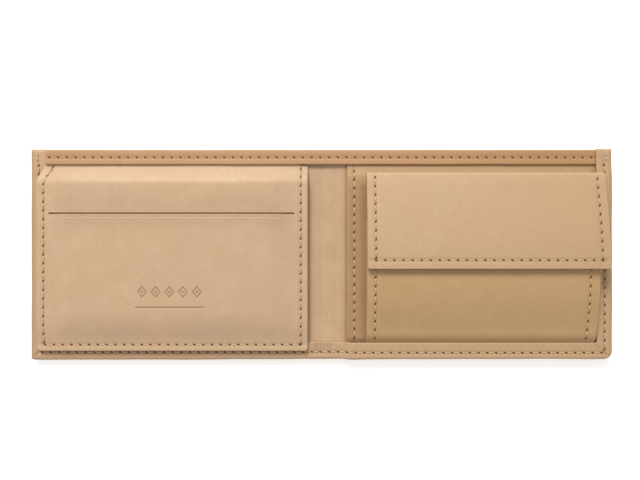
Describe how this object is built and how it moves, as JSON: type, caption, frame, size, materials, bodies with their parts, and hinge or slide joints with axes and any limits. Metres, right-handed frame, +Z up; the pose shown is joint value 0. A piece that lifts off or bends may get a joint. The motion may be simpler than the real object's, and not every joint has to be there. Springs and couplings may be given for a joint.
{
  "type": "trifold wallet",
  "caption": "Slim leather wallet lying open: folding cover with a note compartment, a card leaf that flips up, and a gusseted coin pocket with a lined flap.",
  "frame": {"origin": "centre of the open wallet's footprint, on the surface that it lies on", "axes": "+X along the open wallet to the coin pocket half, +Y to the mouth of the note compartment, +Z up out of the inside"},
  "size_m": [0.2064, 0.075, 0.0116],
  "materials": {
    "cover_leather": "smooth vegetable-tanned, undyed, turned edges",
    "panel_leather": "smooth vegetable-tanned, undyed",
    "band_leather": "smooth vegetable-tanned, slightly darker and warmer",
    "pocket_leather": "smooth vegetable-tanned, darker where it is shaded",
    "lining_leather": "thin split leather, matt",
    "thread": "waxed linen thread, light beige",
    "press_stud": "polished brass press stud"
  },
  "bodies": {
    "right_half": {"cover_right": "cover_leather", "divider_right": "panel_leather", "top_band_right": "band_leather", "coin_back_panel": "pocket_leather", "coin_front_hem": "pocket_leather", "gusset_left": "pocket_leather", "gusset_right": "pocket_leather", "panel_edge_seam": "thread", "flap_root": "panel_leather", "perimeter_seam_right": "thread", "outside_seam_right": "thread", "band_seam_right": "thread", "tack_right": "thread", "cover_spine": "cover_leather", "divider_spine": "panel_leather", "top_band_spine": "band_leather", "perimeter_seam_spine": "thread", "outside_seam_spine": "thread", "band_seam_spine": "thread"},
    "left_half": {"cover_left": "cover_leather", "divider_left": "panel_leather", "top_band_left": "band_leather", "leaf_tab": "panel_leather", "perimeter_seam_left": "thread", "outside_seam_left": "thread", "band_seam_left": "thread", "tack_left": "thread"},
    "card_leaf": {"leaf_back": "panel_leather", "leaf_front": "panel_leather", "leaf_seam": "thread"},
    "coin_front": {"coin_front_panel": "pocket_leather", "pocket_side_seams": "thread", "snap_stud": "press_stud"},
    "coin_flap": {"flap_outer": "panel_leather", "flap_lining": "lining_leather", "flap_seam": "thread", "snap_socket": "press_stud"}
  },
  "joints": [
    {"name": "main_fold", "type": "hinge", "parent": "right_half", "child": "left_half", "pos_m": [0, 0, 0.0096], "axis": [0, 1, 0], "range_deg": [0, 180], "deforming": ["cover_spine", "divider_spine", "top_band_spine", "perimeter_seam_spine", "outside_seam_spine", "band_seam_spine"]},
    {"name": "card_leaf_flip", "type": "hinge", "parent": "left_half", "child": "card_leaf", "pos_m": [-0.0523, 0.0318, 0.005], "axis": [-1, 0, 0], "range_deg": [0, 180]},
    {"name": "coin_flap_lift", "type": "hinge", "parent": "right_half", "child": "coin_flap", "pos_m": [0.05775, 0.0281, 0.0058], "axis": [-1, 0, 0], "range_deg": [0, 162]},
    {"name": "pocket_mouth_spread", "type": "hinge", "parent": "right_half", "child": "coin_front", "pos_m": [0.05635, -0.0308, 0.0043], "axis": [1, 0, 0], "range_deg": [0, 3.2], "deforming": ["gusset_left", "gusset_right"]}
  ],
  "couplings": [
    {"joint": "pocket_mouth_spread", "follows": "coin_flap_lift", "ratio": 0.019753}
  ]
}
